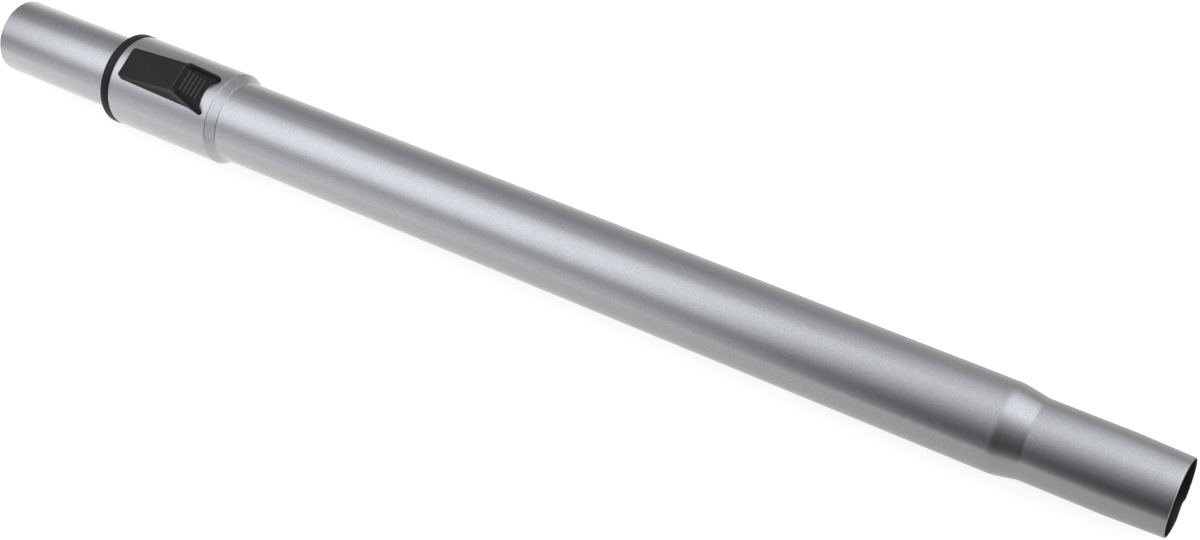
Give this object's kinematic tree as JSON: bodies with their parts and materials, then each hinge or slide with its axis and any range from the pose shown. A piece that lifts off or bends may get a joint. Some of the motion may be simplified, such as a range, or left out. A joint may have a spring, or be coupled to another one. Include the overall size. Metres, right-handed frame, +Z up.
{
  "type": "telescopic vacuum cleaner wand",
  "caption": "Two-tube telescopic steel wand with a swaged collar, black end ring and wedge-shaped slide button that lifts a detent latch, with a push-fit spigot and socket.",
  "frame": {"origin": "under the middle of the collapsed wand, on the surface that it lies on", "axes": "+X along the wand to its nozzle end, +Y to the side away from the picture's camera, +Z up through the slide button"},
  "size_m": [0.604, 0.0452, 0.0549],
  "materials": {
    "silver_lacquered_steel": "silver flake lacquer, satin",
    "black_plastic": "fine moulded grain",
    "natural_acetal": "moulded, smooth",
    "plain_steel": "drawn wire and ground pin",
    "grey_felt": "pressed felt"
  },
  "bodies": {
    "outer": {"outer_tube": "silver_lacquered_steel", "guide_sleeve": "natural_acetal", "collar_ring": "black_plastic", "wiper_seal": "grey_felt", "return_spring_left": "plain_steel", "return_spring_right": "plain_steel"},
    "inner": {"inner_tube": "silver_lacquered_steel", "end_bush": "black_plastic", "end_seal": "grey_felt"},
    "slider": {"slide_button": "black_plastic", "cam_carriage": "natural_acetal"},
    "latch": {"latch_block": "natural_acetal", "latch_dowel": "plain_steel"}
  },
  "joints": [
    {"name": "telescope", "type": "slide", "parent": "outer", "child": "inner", "axis": [-1, 0, 0], "range_m": [0, 0.36]},
    {"name": "button_slide", "type": "slide", "parent": "outer", "child": "slider", "axis": [-1, 0, 0], "range_m": [0, 0.0035], "stiffness_N_per_m": 1500, "springref_m": -0.001, "deforming": ["return_spring_left", "return_spring_right"]},
    {"name": "latch_lift", "type": "slide", "parent": "outer", "child": "latch", "axis": [0, 0, 1], "range_m": [0, 0.0021]}
  ],
  "couplings": [
    {"joint": "latch_lift", "follows": "button_slide", "ratio": 0.6}
  ]
}
